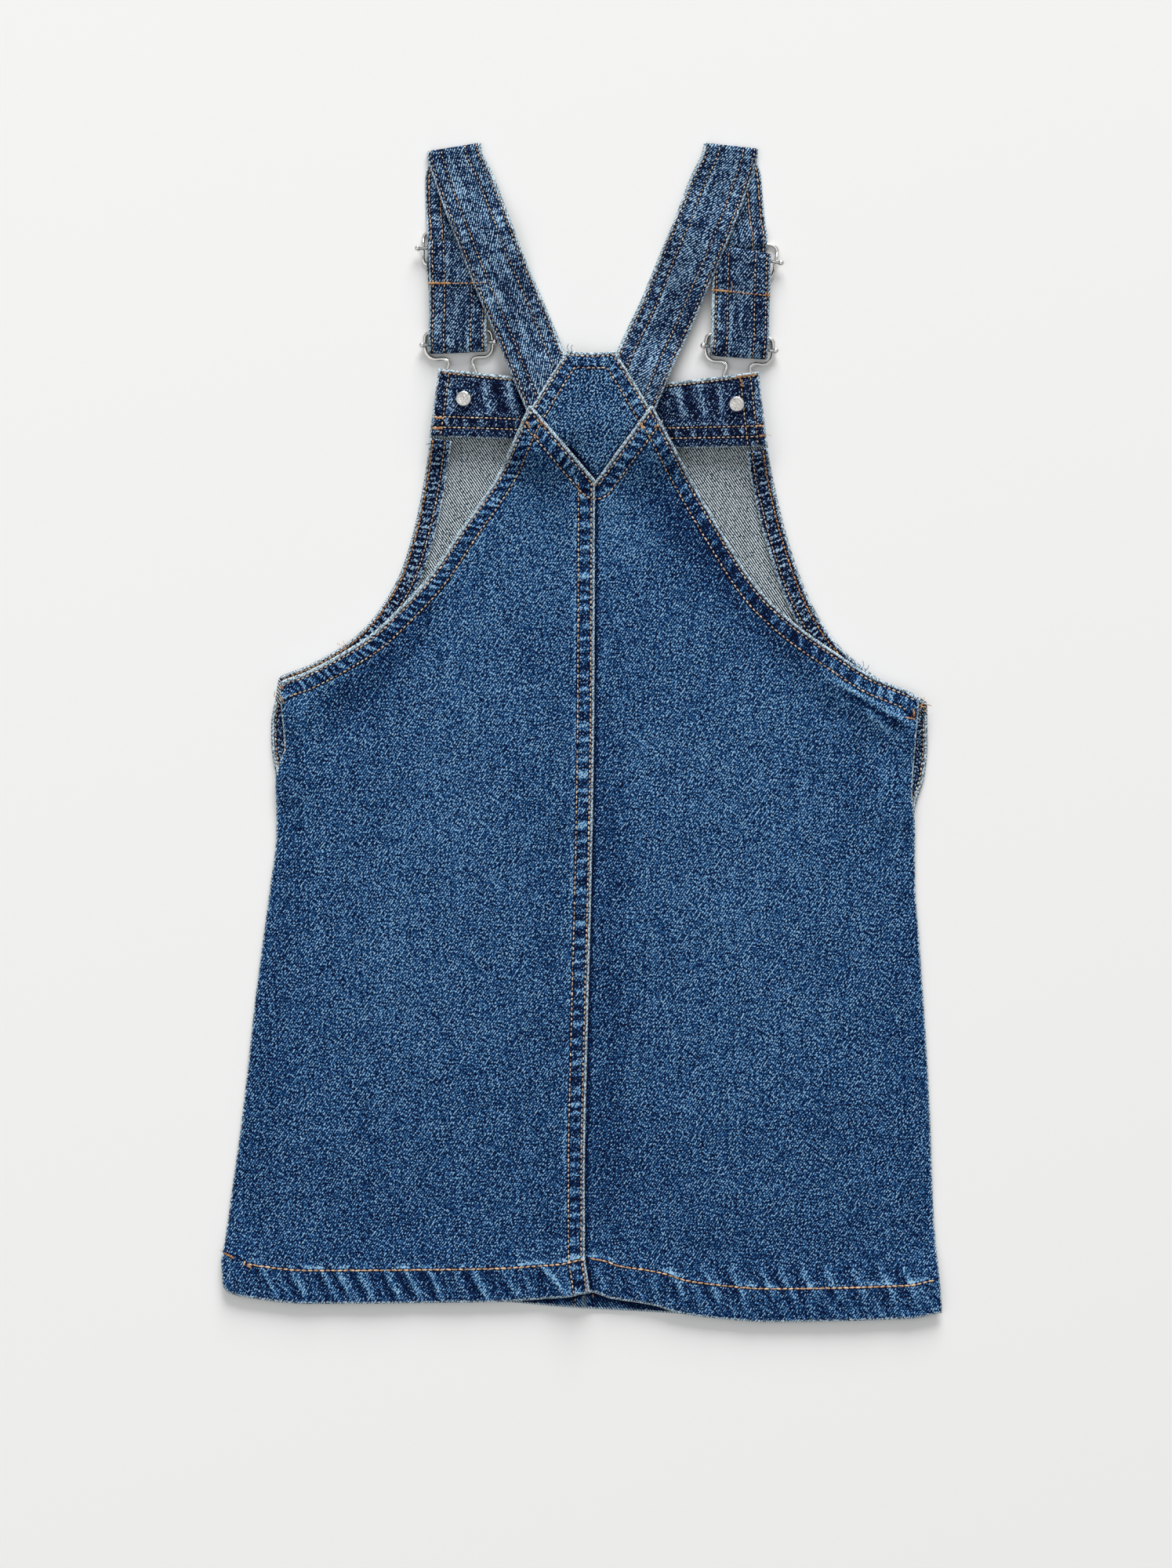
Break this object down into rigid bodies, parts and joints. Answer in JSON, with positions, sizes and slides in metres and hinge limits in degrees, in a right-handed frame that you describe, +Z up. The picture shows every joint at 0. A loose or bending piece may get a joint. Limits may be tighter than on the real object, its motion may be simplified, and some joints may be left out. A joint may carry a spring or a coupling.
{
  "type": "overall dress",
  "caption": "Child's denim overall dress laid flat with its back up: two-panel back with a V yoke, front with a bib, two folded straps with wire buckles and sliders.",
  "frame": {"origin": "on the surface that the dress lies on, under the middle of its outline", "axes": "+Y from the hem to the shoulders, +X from the wearer's left to the wearer's right, +Z up from the surface to the dress's back"},
  "size_m": [0.367, 0.6012, 0.0132],
  "materials": {
    "denim": "washed mid-blue denim, right side",
    "denim_inside": "denim, wrong side, grey-blue twill",
    "thread": "ginger topstitching thread",
    "nickel": "polished nickel plate"
  },
  "bodies": {
    "root": {"front_left": "denim_inside", "front_right": "denim_inside", "bib_facing": "denim", "armhole_facing_left": "denim", "armhole_facing_right": "denim", "side_slit_left": "denim", "side_slit_right": "denim", "back_left": "denim", "back_right": "denim", "back_patch": "denim", "strap_left": "denim", "strap_right": "denim", "buckle_left": "nickel", "buckle_right": "nickel", "buckle_pin_left": "nickel", "buckle_pin_right": "nickel", "slider_left": "nickel", "slider_right": "nickel", "slider_bar_left": "nickel", "slider_bar_right": "nickel", "button_left": "nickel", "button_right": "nickel", "rivet_left": "nickel", "rivet_right": "nickel"}
  },
  "joints": []
}
